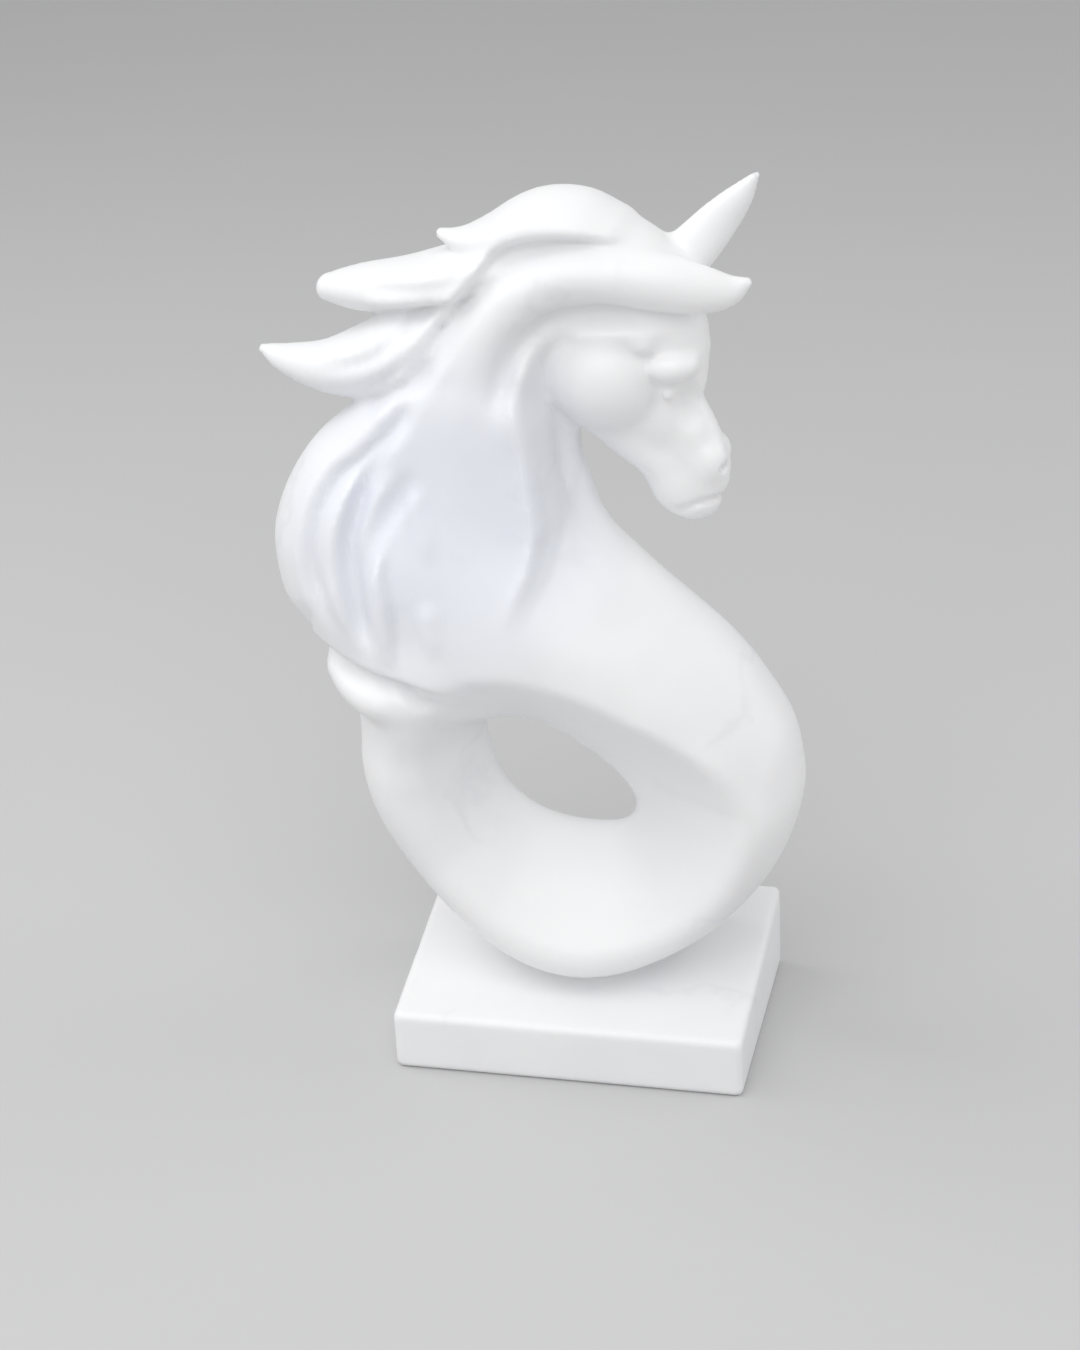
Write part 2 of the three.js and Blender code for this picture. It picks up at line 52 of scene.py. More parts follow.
# ---- driving sizes, as in the CAD part ----
PLINTH = {
    "width": 159.5, "depth": 118.5, "front": 28.0, "back": 42.0,
    "shift": -0.8, "splay": 4.5, "round": 3.0,
}
RING = {"x": -0.9, "z": 139.0, "radius": 100.6}
RING_SWELLS = [(-90, 28, 8.0), (-142, 22, -4.0)]  # bearing, spread and height: the foot, and a flatter flank
ARC = {"from": -188, "to": -6, "steps": 20}

# The figure's outline on its middle plane, as x and z, after the ring's arc.
CHEST = [(97.8, 143), (95, 155), (90.5, 165), (84.5, 175), (76.5, 187), (65, 200), (51, 212.5), (35.5, 226.5),
         (21, 241), (12, 256), (7.5, 270)]
HEAD_LINE = [(4.5, 283), (8, 296), (30, 318), (52, 335), (60, 352), (54, 363), (42, 374)]
CREST = [(25.5, 384), (12, 391.5), (-4.5, 392), (-22.5, 385), (-34.5, 372.5), (-50, 353), (-66, 332),
         (-82, 311)]
BACK = [(-97, 297), (-112, 284), (-123, 269), (-129.5, 255), (-132.3, 243), (-132, 229), (-129, 215),
        (-121.5, 204), (-112.5, 192), (-103, 177)]

# Stations of the body: x, z, half thickness, and how far in from the outline the edge is rounded.
STATIONS = [
    (-80, 222, 51, 44), (-62, 184, 52, 40), (-108, 158, 50, 48), (-100, 110, 52, 46), (-80, 60, 54, 46),
    (-4, 33, 56, 46), (60, 60, 54, 46), (94, 110, 52, 46), (94, 146, 50, 48), (-112, 246, 47, 38),
    (-30, 190, 50, 50), (4, 186, 48, 54), (44, 170, 47, 56), (76, 146, 48, 54), (-12, 268, 37, 26),
    (-30, 300, 38, 26), (-20, 330, 33, 24), (4, 372, 26, 22), (-50, 340, 33, 24), (-90, 296, 40, 30),
    (40, 350, 24, 20), (24, 228, 42, 50), (56, 196, 46, 54), (4, 320, 21, 18),
]

# The opening through the ring: its edge at mid depth. Its sides flare to both faces, as a bearing round its
# centre in degrees, a slope, and how softly the flare meets the face there.
HOLE = [(-43.5, 151), (-27, 153), (-14, 149), (0, 141), (13, 130.5), (21.5, 119.5), (23, 111), (17.5, 104.5),
        (6, 102.5), (-8, 103.5), (-21, 107.5), (-33, 116), (-40, 127.5), (-43, 139.5)]
HOLE_CENTRE = (-10, 127)
FLARE = [(-90, 0.8, 12), (-45, 0.7, 10), (0, 0.62, 8), (15, 0.7, 6), (32, 0.82, 4), (50, 0.94, 3),
         (70, 1.02, 3), (92, 1.12, 3), (115, 1.2, 3), (130, 1.5, 6), (150, 1.9, 12), (180, 1.5, 18),
         (215, 1.1, 18), (245, 0.9, 14), (270, 0.8, 12)]
FLARE_EDGE = 5.0  # how gently the flare starts at mid depth
FLARE_TOP = 250.0  # there is no opening above this height
FAR_FROM_HOLE = -50  # a distance well inside the stone

# Lines of the mane on the faces, as x and z.
LINES = {
    "roll": [(44, 371.5), (33, 374.6), (25, 376.4), (16, 377.8), (6, 377.8), (-4, 377), (-13, 375.5),
             (-21, 372), (-28, 365), (-34, 357), (-41, 348.5), (-49, 338), (-56, 327), (-65, 318)],
    "valley": [(36, 370.5), (25.5, 372), (16.7, 373.5), (7, 373.5), (-3, 372), (-13, 369.5), (-20, 364),
               (-26, 356), (-34, 348.5), (-40.7, 341.7), (-47, 333), (-53, 325), (-58, 316), (-62, 308)],
    "under_lock": [(-47, 333), (-52.5, 325), (-60, 317), (-68.7, 311.5), (-76.6, 307.5), (-88, 302.8)],
    "rim": [(-58, 314), (-62, 307), (-66, 301), (-73, 293), (-83, 284), (-92, 277), (-98, 269), (-102, 260),
            (-104, 249), (-104.5, 239), (-103, 229), (-101, 221), (-95, 210)],
    "band": [(60, 351), (40, 351.5), (23.5, 352.3), (7.7, 350.7), (-1.6, 349.1), (-9.2, 345.3),
             (-16.8, 338.1), (-21.9, 328.4), (-25, 318.4), (-26.1, 309.4), (-26.5, 298)],
    "strand": [(-9, 334), (-13, 323), (-14.5, 313), (-13, 305), (-11, 298), (-9.5, 287), (-8.5, 277),
               (-7.5, 266), (-6.5, 256), (-7.9, 246.5), (-10.3, 237.6), (-14.3, 228.8), (-18.1, 220.2),
               (-24, 211)],
    "crease": [(12, 339), (4, 336), (-1.5, 331), (-4.8, 325), (-5.7, 318), (-5, 309), (-2, 301),
               (2, 293), (6, 283)],
    "outer_groove": [(-66, 293), (-71.5, 285.7), (-78.9, 277), (-83.5, 265.2), (-86.8, 253.4), (-87.3, 242.2),
                     (-86.6, 232.9), (-84.2, 221.3), (-81.3, 211.6), (-77, 203)],
    "inner_groove": [(-57, 285), (-60.9, 278.6), (-65.9, 269.7), (-71.2, 262.1), (-75.4, 254.4), (-79, 245),
                     (-82, 234.5), (-83, 224), (-82, 215)],
    "window": [(-71.6, 259), (-75, 248), (-75, 238), (-73.5, 228), (-73, 216), (-72, 203), (-70, 196)],
    "hair": [(-57.7, 275.8), (-57.9, 266.6), (-54.5, 257.1), (-52.4, 249.3), (-50.2, 241.5)],
    "low_hair": [(-52.3, 229), (-53, 219), (-51.7, 209.5), (-50.3, 199)],
    "fold": [(-112, 203), (-102, 199), (-93, 195.5), (-86, 194.5), (-78, 193), (-71, 192), (-66, 191),
             (-58, 188), (-50, 185.5), (-43, 184)],
    "low_fold": [(-70, 190), (-64, 185), (-59, 180), (-48, 178)],
    "upper_lock": [(-84, 345), (-65.8, 346.8), (-54.2, 348.2), (-43.5, 350.5), (-35.5, 352.5), (-30, 357)],
    "upper_hair": [(-90, 353), (-71, 353.5), (-55, 355.3), (-41, 359), (-31.7, 365.5)],
    "lower_hair": [(-46, 345), (-49, 339), (-55.3, 331), (-65, 322.5), (-80, 312.5), (-92, 309)],
    "middle_hair": [(-60, 346), (-66.8, 334.2), (-76, 326.5), (-91, 320.5), (-108, 318)],
}

# Steps stand proud on one side of a line (+1 the left of travel) and dip on the other.
# Bars are rounded ridges, or grooves where the height is negative, moved to the left of the line by shift.
STEPS = [
    {"line": "roll", "shift": 0, "side": -1, "proud": (1.5, 12), "dip": (2.5, 12),
     "soft": 1.8, "ends": (0.3, 0.12)},
    {"line": "band", "shift": 0, "side": -1, "proud": (1, 12), "dip": (4, 16),
     "soft": 1.8, "ends": (0.02, 0.45)},
    {"line": "strand", "shift": 0, "side": -1, "proud": (1.5, 8), "dip": (8, 34),
     "soft": 3.5, "ends": (0.4, 0.35)},
    {"line": "upper_lock", "shift": 0, "side": 1, "proud": (1, 8), "dip": (1.5, 9),
     "soft": 1.5, "ends": (0.1, 0.2)},
    {"line": "fold", "shift": 0, "side": 1, "proud": (2, 20), "dip": (4, 12),
     "soft": 2, "ends": (0.01, 0.3)},
    {"line": "rim", "shift": -2, "side": -1, "proud": (1.5, 10), "dip": (2, 8),
     "soft": 2, "ends": (0.2, 0.2)},
    {"line": "outer_groove", "shift": -3, "side": -1, "proud": (2.5, 12), "dip": (5, 10),
     "soft": 2.5, "ends": (0.3, 0.2)},
    {"line": "window", "shift": 4, "side": -1, "proud": (5, 14), "dip": (1, 7),
     "soft": 2.5, "ends": (0.35, 0.3)},
]
BARS = [
    {"line": "valley", "shift": 0, "width": 9, "height": -4.5, "ends": (0.35, 0.15)},
    {"line": "under_lock", "shift": 0, "width": 5, "height": -2.5, "ends": (0.3, 0.2)},
    {"line": "rim", "shift": 0, "width": 8, "height": -4, "ends": (0.15, 0.2)},
    {"line": "band", "shift": 5, "width": 9, "height": -7, "ends": (0.03, 0.45)},
    {"line": "strand", "shift": 1, "width": 7, "height": 4, "ends": (0.1, 0.25)},
    {"line": "crease", "shift": 0, "width": 7, "height": -5, "ends": (0.15, 0.15)},
    {"line": "outer_groove", "shift": 1, "width": 8, "height": -3, "ends": (0.3, 0.2)},
    {"line": "inner_groove", "shift": 0, "width": 7, "height": -4, "ends": (0.3, 0.35)},
    {"line": "hair", "shift": 0, "width": 6, "height": 1.5, "ends": (0.2, 0.4)},
    {"line": "low_hair", "shift": 0, "width": 7, "height": 2, "ends": (0.3, 0.4)},
    {"line": "low_fold", "shift": 0, "width": 5, "height": -3.5, "ends": (0.3, 0.3)},
    {"line": "upper_hair", "shift": 0, "width": 4, "height": -1.6, "ends": (0.3, 0.3)},
    {"line": "lower_hair", "shift": 0, "width": 4, "height": -1.8, "ends": (0.2, 0.3)},
    {"line": "middle_hair", "shift": 0, "width": 4, "height": -1.6, "ends": (0.2, 0.4)},
]
FACE_LINES = {
    "mouth": [(74, 262), (62, 263), (54, 261), (46, 257.5)],
}
FACE_BARS = [
    {"line": "mouth", "shift": 0, "width": 2.4, "height": -1.8, "ends": (0.01, 0.2)},
]
FAR_SIDE = 0.6  # the far face carries the same carving, shallower
FACE_EASE = (2, 12)  # the carving fades in over this distance from mid depth

# Swept masses: x, y, z of the middle line, the half size in the plane of the outline, and across it.
SWEEPS = {
    "lobe": [(-101, 0, 185, 10.5, 35), (-91, 0, 181.5, 16, 46), (-79, 0, 178, 18.5, 53),
             (-66, 0, 175, 17.5, 49), (-54, 0, 172, 15, 37), (-43, 0, 166, 10, 23)],
    "low_lock": [(-40, 0, 325, 18, 32), (-62, 0, 324.5, 20, 30), (-84, 0, 318, 15.8, 24),
                 (-104, 0, 314.7, 11, 16), (-122, 0, 317.2, 6.4, 9), (-133, 0, 321.5, 2, 3)],
    "mid_lock": [(-22, 0, 363, 11, 29), (-45, 0, 357, 11, 27), (-66, 0, 351.5, 11, 22),
                 (-86, 0, 349.8, 9.4, 16), (-100.5, 0, 349.3, 6, 8)],
    "top_lock": [(22, 0, 376, 8, 23), (8, 0, 380.5, 9.5, 26), (-8, 0, 381, 10, 26), (-24, -2, 375, 8.5, 21),
                 (-36, -5, 372.3, 6, 13), (-43, -6, 373, 4, 7), (-49, -6, 375, 2, 3.5)],
    "forelock": [(-38, -19, 288, 7, 10), (-35, -22, 308, 10, 13), (-30, -23, 330, 10.5, 13),
                 (-16, -23, 351, 10.5, 13), (4, -20, 361, 10.5, 13), (24, -19, 362, 11, 13),
                 (44, -17, 359, 11.5, 12), (59, -14, 355.5, 10, 10), (70, -10, 354, 6.5, 7),
                 (78, -8, 357, 2, 4)],
    "ear": [(44, 8, 357, 11.5, 9), (55, 8, 368, 10, 8), (65, 7, 379.2, 8.2, 6.5), (73.5, 5, 388.8, 5.4, 5),
            (80.5, 3, HEIGHT - 2, 1.4, 1.8)],
    "face": [(22, 0, 341, 18, 17), (39.5, 0, 335, 20, 18), (44.5, 0, 319, 15.5, 16), (45.5, 0, 304, 12.3, 13),
             (51, 0, 289, 13.2, 12), (55.2, 0, 275, 13.4, 12), (50.5, 0, 263.7, 14.6, 11.5)],
    "jaw": [(12, 0, 304, 11, 14), (25, 0, 291, 11, 13), (37, 0, 280, 10, 12), (45, 0, 270, 10.5, 11)],
}

# Rounded masses of the head: centre, half sizes, tilt in degrees, and how softly each one joins.
# Those off the middle are on both sides.
MASSES = {
    "cheek": {"at": (19.5, 0, 317), "half": (25, 29.5, 26.5), "tilt": 0, "blend": 2.5},
    "jaw_muscle": {"at": (36, 0, 298), "half": (13, 13.5, 14), "tilt": 0, "blend": 6},
    "nostril": {"at": (61.5, 6.5, 279), "half": (6, 6, 8), "tilt": -15, "blend": 4},
    "brow": {"at": (47, 11.5, 323), "half": (11.5, 11.5, 7.5), "tilt": 3, "blend": 2},
    "brow_knob": {"at": (36.5, 15, 333.5), "half": (5.5, 7.5, 5), "tilt": 0, "blend": 2},
    "tear": {"at": (46, 13.5, 311), "half": (2.8, 3.4, 2.6), "tilt": 0, "blend": 1.2},
}
HOLLOWS = {
    "under_brow": {"at": (56, 15, 305), "half": (8, 9, 11), "tilt": 0, "blend": 3},
    "nostril_hole": {"at": (67.5, 6.5, 277), "half": (2.6, 3.2, 2.2), "tilt": 0, "blend": 1.5},
}
HEAD_LOW = (-15, -45, 235)
HEAD_HIGH = (95, 45, HEIGHT)

# How softly each part joins the rest.
BLENDS = {
    "lobe": 4, "low_lock": 5, "mid_lock": 5, "top_lock": 4,
    "jaw": 6, "head": 4, "forelock": 5, "ear": 4, "plinth": 5,
}


# ---- curves and blends ----
def smooth_step(low, high, value):
    share = np.clip((value - low) / (high - low), 0, 1)
    return share * share * (3 - 2 * share)


def smooth_min(a, b, blend):
    share = np.maximum(blend - np.abs(a - b), 0) / blend
    return np.minimum(a, b) - share * share * blend * 0.25


def smooth_max(a, b, blend):
    return -smooth_min(-a, -b, blend)


def spline(rows, steps, closed=False):
    """A smooth line through rows of numbers, with the given number of steps between two rows."""
    points = np.array(rows, float)
    if closed:
        padded = np.vstack([points[-1:], points, points[:2]])
    else:
        padded = np.vstack([2 * points[:1] - points[1:2], points, 2 * points[-1:] - points[-2:-1]])
    share = (np.arange(steps) / steps)[:, None]
    line = []
    for a, b, c, d in zip(padded, padded[1:], padded[2:], padded[3:]):
        bend = (2 * a - 5 * b + 4 * c - d) * share ** 2 + (3 * b - a - 3 * c + d) * share ** 3
        line.append(0.5 * (2 * b + (c - a) * share + bend))
    if not closed:
        line.append(points[-1:])
    return np.vstack(line)


def nearest(x, z, line, closed=False):
    """Distance to a line, share of the way along it, and side (+1 left of travel, -1 right)."""
    ends = np.vstack([line, line[:1]]) if closed else line
    best = np.full(x.shape, np.inf)
    share = np.zeros(x.shape)
    side = np.ones(x.shape)
    spans = len(ends) - 1
    for i, ((ax, az), (bx, bz)) in enumerate(zip(ends, ends[1:])):
        ux, uz = bx - ax, bz - az
        t = np.clip(((x - ax) * ux + (z - az) * uz) / (ux * ux + uz * uz), 0, 1)
        dx, dz = x - ax - t * ux, z - az - t * uz
        square = dx * dx + dz * dz
        closer = square < best
        best = np.where(closer, square, best)
        share = np.where(closer, (i + t) / spans, share)
        side = np.where(closer, np.sign(ux * dz - uz * dx), side)
    return np.sqrt(best), share, side


def is_inside(x, z, loop):
    inside = np.zeros(x.shape, bool)
    for (ax, az), (bx, bz) in zip(loop, np.roll(loop, -1, axis=0)):
        if az == bz:
            continue
        crossing = ((az > z) != (bz > z)) & (x < (bx - ax) * (z - az) / (bz - az) + ax)
        inside ^= crossing
    return inside


def signed_distance(x, z, loop):
    distance = nearest(x, z, loop, closed=True)[0]
    return np.where(is_inside(x, z, loop), distance, -distance)


def shifted(rows, by):
    """The line moved to the left of its travel."""
    points = np.array(rows, float)
    along = np.gradient(points, axis=0)
    along /= np.linalg.norm(along, axis=1)[:, None]
    return points + by * np.stack([-along[:, 1], along[:, 0]], 1)


# ---- the body: an outline swollen to both sides ----
def ring_arc():
    bearing = np.linspace(ARC["from"], ARC["to"], ARC["steps"] + 1)
    swells = [high * np.exp(-(((bearing - at) / spread) ** 2)) for at, spread, high in RING_SWELLS]
    radius = RING["radius"] + sum(swells)
    angle = np.radians(bearing)
    return list(zip(RING["x"] + radius * np.cos(angle), RING["z"] + radius * np.sin(angle)))


def stations(x, z):
    """Half thickness and edge width at a place, from the stations, the nearest counting most."""
    rows = np.array(STATIONS, float)
    spread, least, power = 900.0, 0.02, 1.6
    weights = [1 / (((x - row[0]) ** 2 + (z - row[1]) ** 2) / spread + least) ** power for row in rows]
    total = sum(weights)
    return [sum(w * row[k] for w, row in zip(weights, rows)) / total for k in (2, 3)]


def taper(share, ends):
    return smooth_step(0, ends[0], share) * smooth_step(0, ends[1], 1 - share)


def relief(x, z, lines, steps, bars):
    height = np.zeros(x.shape)
    for step in steps:
        distance, share, side = nearest(x, z, spline(shifted(lines[step["line"]], step["shift"]), 4))
        across = distance * side * step["side"]
        (up, up_reach), (down, down_reach) = step["proud"], step["dip"]
        proud = up * (1 - smooth_step(0, up_reach, across))
        dip = -down * (1 - smooth_step(0, down_reach, -across))
        mix = smooth_step(-step["soft"], step["soft"], across)
        height += (proud * mix + dip * (1 - mix)) * taper(share, step["ends"])
    for bar in bars:
        distance, share, _ = nearest(x, z, spline(shifted(lines[bar["line"]], bar["shift"]), 4))
        bell = np.clip(1 - (distance / bar["width"]) ** 2, 0, 1) ** 2
        height += bar["height"] * bell * taper(share, bar["ends"])
    return height


SHEET_X = (-150, 120)
SHEET_Z = (0, 412)


class Sheet:
    """Values that depend on x and z alone, worked out once on a fine sheet and read between its points."""

    def __init__(self, pitch):
        self.pitch = pitch
        self.x = np.arange(*SHEET_X, pitch)
        self.z = np.arange(*SHEET_Z, pitch)
        x, z = np.meshgrid(self.x, self.z, indexing="ij")
        outline = spline(ring_arc() + CHEST + HEAD_LINE + CREST + BACK, 4, closed=True)
        half, edge = stations(x, z)
        inward = np.minimum(signed_distance(x, z, outline) / edge, 1)
        square = half * half * (1 - (1 - inward) ** 2)
        bearing = np.degrees(np.arctan2(z - HOLE_CENTRE[1], x - HOLE_CENTRE[0]))
        bearing = (bearing + 90) % 360 - 90
        flare_bearing, flare_slope, flare_softness = np.array(FLARE, float).T
        self.layers = {
            "square": square,
            "slope": np.hypot(*np.gradient(square, pitch)),
            "hole": -signed_distance(x, z, spline(HOLE, 6, closed=True)),
            "flare": np.interp(bearing, flare_bearing, flare_slope),
            "softness": np.interp(bearing, flare_bearing, flare_softness),
            "carving": relief(x, z, LINES, STEPS, BARS),
            "face_carving": relief(x, z, FACE_LINES, [], FACE_BARS),
        }

    def read(self, x, z, *names):
        i = np.clip((x - self.x[0]) / self.pitch, 0, len(self.x) - 1.001)
        j = np.clip((z - self.z[0]) / self.pitch, 0, len(self.z) - 1.001)
        a, b = i.astype(int), j.astype(int)
        f, g = i - a, j - b
        corners = [
            ((1 - f) * (1 - g), a, b), (f * (1 - g), a + 1, b),
            ((1 - f) * g, a, b + 1), (f * g, a + 1, b + 1),
        ]
        return [sum(share * self.layers[name][m, n] for share, m, n in corners) for name in names]


SHEET = Sheet(1.25)


def body(points):
    x, y, z = points.T
    square, slope, hole, flare, softness = SHEET.read(x, z, "square", "slope", "hole", "flare", "softness")
    least_square_slope = 60
    swollen = (y * y - square) / np.sqrt(4 * y * y + slope * slope + least_square_slope)
    depth = np.hypot(y, FLARE_EDGE) - FLARE_EDGE
    flared = (depth - flare * hole) / np.hypot(1, flare)
    return smooth_max(swollen, np.where(z < FLARE_TOP, flared, FAR_FROM_HOLE), softness)


def carved(points):
    """How far the lines of the mane stand out from the faces, or dip into them; shallower on the far face."""
    x, y, z = points.T
    part = smooth_step(*FACE_EASE, -y) + FAR_SIDE * smooth_step(*FACE_EASE, y)
    return SHEET.read(x, z, "carving")[0] * part


# ---- swept and rounded masses ----
def round_distance(u, v, w, a, b, c):
    """Signed distance to an ellipsoid of the given half sizes, good near its surface."""
    near = np.sqrt((u / a) ** 2 + (v / b) ** 2 + (w / c) ** 2) + 1e-9
    far = np.sqrt((u / a ** 2) ** 2 + (v / b ** 2) ** 2 + (w / c ** 2) ** 2) + 1e-12
    return near * (near - 1) / far


def sweep_distance(points, rows):
    line = spline(rows, 4)
    best = np.full(len(points), np.inf)
    for start, end in zip(line, line[1:]):
        along = end[:3] - start[:3]
        length = np.linalg.norm(along)
        along = along / length
        across = np.array([0.0, 1.0, 0.0]) - along * along[1]
        across /= np.linalg.norm(across)
        up = np.cross(across, along)
        offset = points - start[:3]
        share = offset @ along / length
        t = np.clip(share, 0, 1)
        in_plane = start[3] + (end[3] - start[3]) * t
        wide = start[4] + (end[4] - start[4]) * t
        past = (share - t) * length
        near = round_distance(offset @ up, offset @ across, past, in_plane, wide, np.minimum(in_plane, wide))
        best = np.minimum(best, near)
    return best


def mass_distance(points, mass):
    angle = np.radians(mass["tilt"])
    x, y, z = points.T
    dx, dy, dz = x - mass["at"][0], np.abs(y) - mass["at"][1], z - mass["at"][2]
    u = dx * np.cos(angle) + dz * np.sin(angle)
    w = dz * np.cos(angle) - dx * np.sin(angle)
    return round_distance(u, dy, w, *mass["half"])


def near_only(points, low, high, measure):
    """The measure where points lie in a box, and a large distance elsewhere."""
    distance = np.full(len(points), 1000.0)
    within = np.all((points > low) & (points < high), axis=1)
    distance[within] = measure(points[within])
    return distance


def swept(points, name):
    rows = np.array(SWEEPS[name], float)
    reach = rows[:, 3:5].max() + 14
    low, high = rows[:, :3].min(0) - reach, rows[:, :3].max(0) + reach
    return near_only(points, low, high, lambda part: sweep_distance(part, rows))


def head(points):
    distance = sweep_distance(points, SWEEPS["face"])
    cheek = MASSES["cheek"]
    distance = smooth_min(distance, mass_distance(points, cheek), cheek["blend"])
    distance = smooth_min(distance, sweep_distance(points, SWEEPS["jaw"]), BLENDS["jaw"])
    for name in ("jaw_muscle", "nostril", "brow", "brow_knob", "tear"):
        distance = smooth_min(distance, mass_distance(points, MASSES[name]), MASSES[name]["blend"])
    for hollow in HOLLOWS.values():
        distance = smooth_max(distance, -mass_distance(points, hollow), hollow["blend"])
    return distance - SHEET.read(points[:, 0], points[:, 2], "face_carving")[0]


def plinth(points):
    x, y, z = points.T
    ease = PLINTH["round"]
    top = PLINTH["front"] + (PLINTH["back"] - PLINTH["front"]) * (y / PLINTH["depth"] + 0.5)
    splay = PLINTH["splay"] * (y / PLINTH["depth"] + 0.5)
    over_x = np.maximum(x - PLINTH["shift"], PLINTH["shift"] - splay - x) - PLINTH["width"] / 2 + ease
    over_y = np.abs(y) - PLINTH["depth"] / 2 + ease
    over_z = np.maximum(z - top, -z) + ease
    outside = np.sqrt(np.maximum(over_x, 0) ** 2 + np.maximum(over_y, 0) ** 2 + np.maximum(over_z, 0) ** 2)
    return outside + np.minimum(np.maximum(np.maximum(over_x, over_y), over_z), 0) - ease


def sculpture(points):
    """The whole form: negative inside, zero on the surface."""
    distance = body(points)
    for name in ("lobe", "low_lock", "mid_lock", "top_lock"):
        distance = smooth_min(distance, swept(points, name), BLENDS[name])
    distance = distance - carved(points)
    distance = smooth_min(distance, near_only(points, HEAD_LOW, HEAD_HIGH, head), BLENDS["head"])
    for name in ("forelock", "ear"):
        distance = smooth_min(distance, swept(points, name), BLENDS[name])
    return smooth_min(distance, plinth(points), BLENDS["plinth"])


# ---- the surface ----
def ruler(start, *stops):
    """Marks from a start to each stop in turn, about the given size apart."""
    marks = [start]
    for end, size in stops:
        count = int(np.ceil((end - marks[-1]) / size))
        marks.extend(np.linspace(marks[-1], end, count + 1)[1:])
    return np.array(marks)


CORNERS = [(i, j, k) for i in (0, 1) for j in (0, 1) for k in (0, 1)]
CELL_EDGES = [
    (a, b) for a in range(8) for b in range(a + 1, 8)
    if np.abs(np.subtract(CORNERS[a], CORNERS[b])).sum() == 1
]


def clear_checkers(values):
    """Where a grid square's corners are solid and empty in turn, its weaker empty corner becomes solid."""
    changed = 0
    for axis in range(3):
        second, third = (axis + 1) % 3, (axis + 2) % 3
        corners = []
        for on_second, on_third in ((0, 0), (1, 0), (1, 1), (0, 1)):
            part = [slice(None)] * 3
            part[second] = slice(on_second, values.shape[second] - 1 + on_second)
            part[third] = slice(on_third, values.shape[third] - 1 + on_third)
            corners.append(values[tuple(part)])
        a, b, c, d = (corner < 0 for corner in corners)
        where = np.argwhere((a == c) & (b == d) & (a != b))
        for place in where:
            empty = [corner for corner in corners if corner[tuple(place)] >= 0]
            weaker = min(empty, key=lambda corner: corner[tuple(place)], default=None)
            if weaker is not None:
                weaker[tuple(place)] = -max(weaker[tuple(place)], 1e-6)
        changed += len(where)
    return changed


def settle(points):
    """Moves points along the steepest way until they lie on the surface."""
    reach, rounds, least_square, longest = 0.25, 3, 0.1, 1.5
    for _ in range(rounds):
        slope = np.stack([
            (sculpture(points + reach * axis) - sculpture(points - reach * axis)) / (2 * reach)
            for axis in np.eye(3)
        ], 1)
        square = np.maximum((slope ** 2).sum(1), least_square)
        move = -slope * (sculpture(points) / square)[:, None]
        length = np.linalg.norm(move, axis=1)
        points = points + move * np.minimum(1, longest / np.maximum(length, 1e-9))[:, None]
    return points


def shifted_block(array, corner):
    """The array without its last layer on each axis, or without its first one where the corner is 1."""
    return array[tuple(slice(one, size - 1 + one) for one, size in zip(corner, array.shape))]


def carve(grid):
    """One point in each grid cell that the surface crosses, and a face round each grid edge that it cuts."""
    xs, ys, zs = grid
    x, z = np.meshgrid(xs, zs, indexing="ij")
    layers = [sculpture(np.stack([x.ravel(), np.full(x.size, y), z.ravel()], 1)).reshape(x.shape) for y in ys]
    values = np.stack(layers, 1)
    while clear_checkers(values):
        pass
    solid = values < 0
    count = sum(shifted_block(solid, corner).astype(int) for corner in CORNERS)
    crossed = (count > 0) & (count < len(CORNERS))
    index = np.full(crossed.shape, -1)
    index[crossed] = np.arange(crossed.sum())
    i, j, k = np.nonzero(crossed)
    places = [np.stack([xs[i + a], ys[j + b], zs[k + c]], 1) for a, b, c in CORNERS]
    found = [values[i + a, j + b, k + c] for a, b, c in CORNERS]
    total = np.zeros((len(i), 3))
    cuts = np.zeros(len(i))
    for a, b in CELL_EDGES:
        cut = (found[a] < 0) != (found[b] < 0)
        share = np.where(cut, found[a] / np.where(cut, found[a] - found[b], 1), 0)
        total += np.where(cut[:, None], places[a] + (places[b] - places[a]) * share[:, None], 0)
        cuts += cut
    points = settle(total / cuts[:, None])
    faces = []
    for axis in range(3):
        second, third = (axis + 1) % 3, (axis + 2) % 3
        low = [slice(1, -1)] * 3
        high = [slice(1, -1)] * 3
        low[axis], high[axis] = slice(0, -1), slice(1, None)
        starts = solid[tuple(low)]
        edge = np.argwhere(starts != solid[tuple(high)])
        outward = starts[tuple(edge.T)]
        edge += 1
        edge[:, axis] -= 1
        ring = []
        for back_second, back_third in ((1, 1), (0, 1), (0, 0), (1, 0)):
            cell = edge.copy()
            cell[:, second] -= back_second
            cell[:, third] -= back_third
            ring.append(index[tuple(cell.T)])
        quads = np.stack(ring, 1)
        quads[~outward] = quads[~outward][:, ::-1]
        faces.append(quads)
    return points, np.vstack(faces)


def make_sculpture():
    grid = (
        ruler(CAD_LOW[0] - 8, (-10, 2.1), (CAD_HIGH[0] + 8, 1.7)),
        ruler(CAD_LOW[1] - 6, (CAD_HIGH[1] + 6, 2.1)),
        ruler(-5.0, (240, 2.2), (CAD_HIGH[2] + 8, 1.65)),
    )
    points, quads = carve(grid)
    mesh = bpy.data.meshes.new("horse_sculpture")
    mesh.from_pydata((points * MM).tolist(), [], quads.tolist())
    mesh.polygons.foreach_set("use_smooth", [True] * len(mesh.polygons))
    mesh.update()
    piece = bpy.data.objects.new("marble_horse", mesh)
    bpy.context.collection.objects.link(piece)
    print("sculpture:", len(points), "points,", 2 * len(quads), "triangles")
    return piece


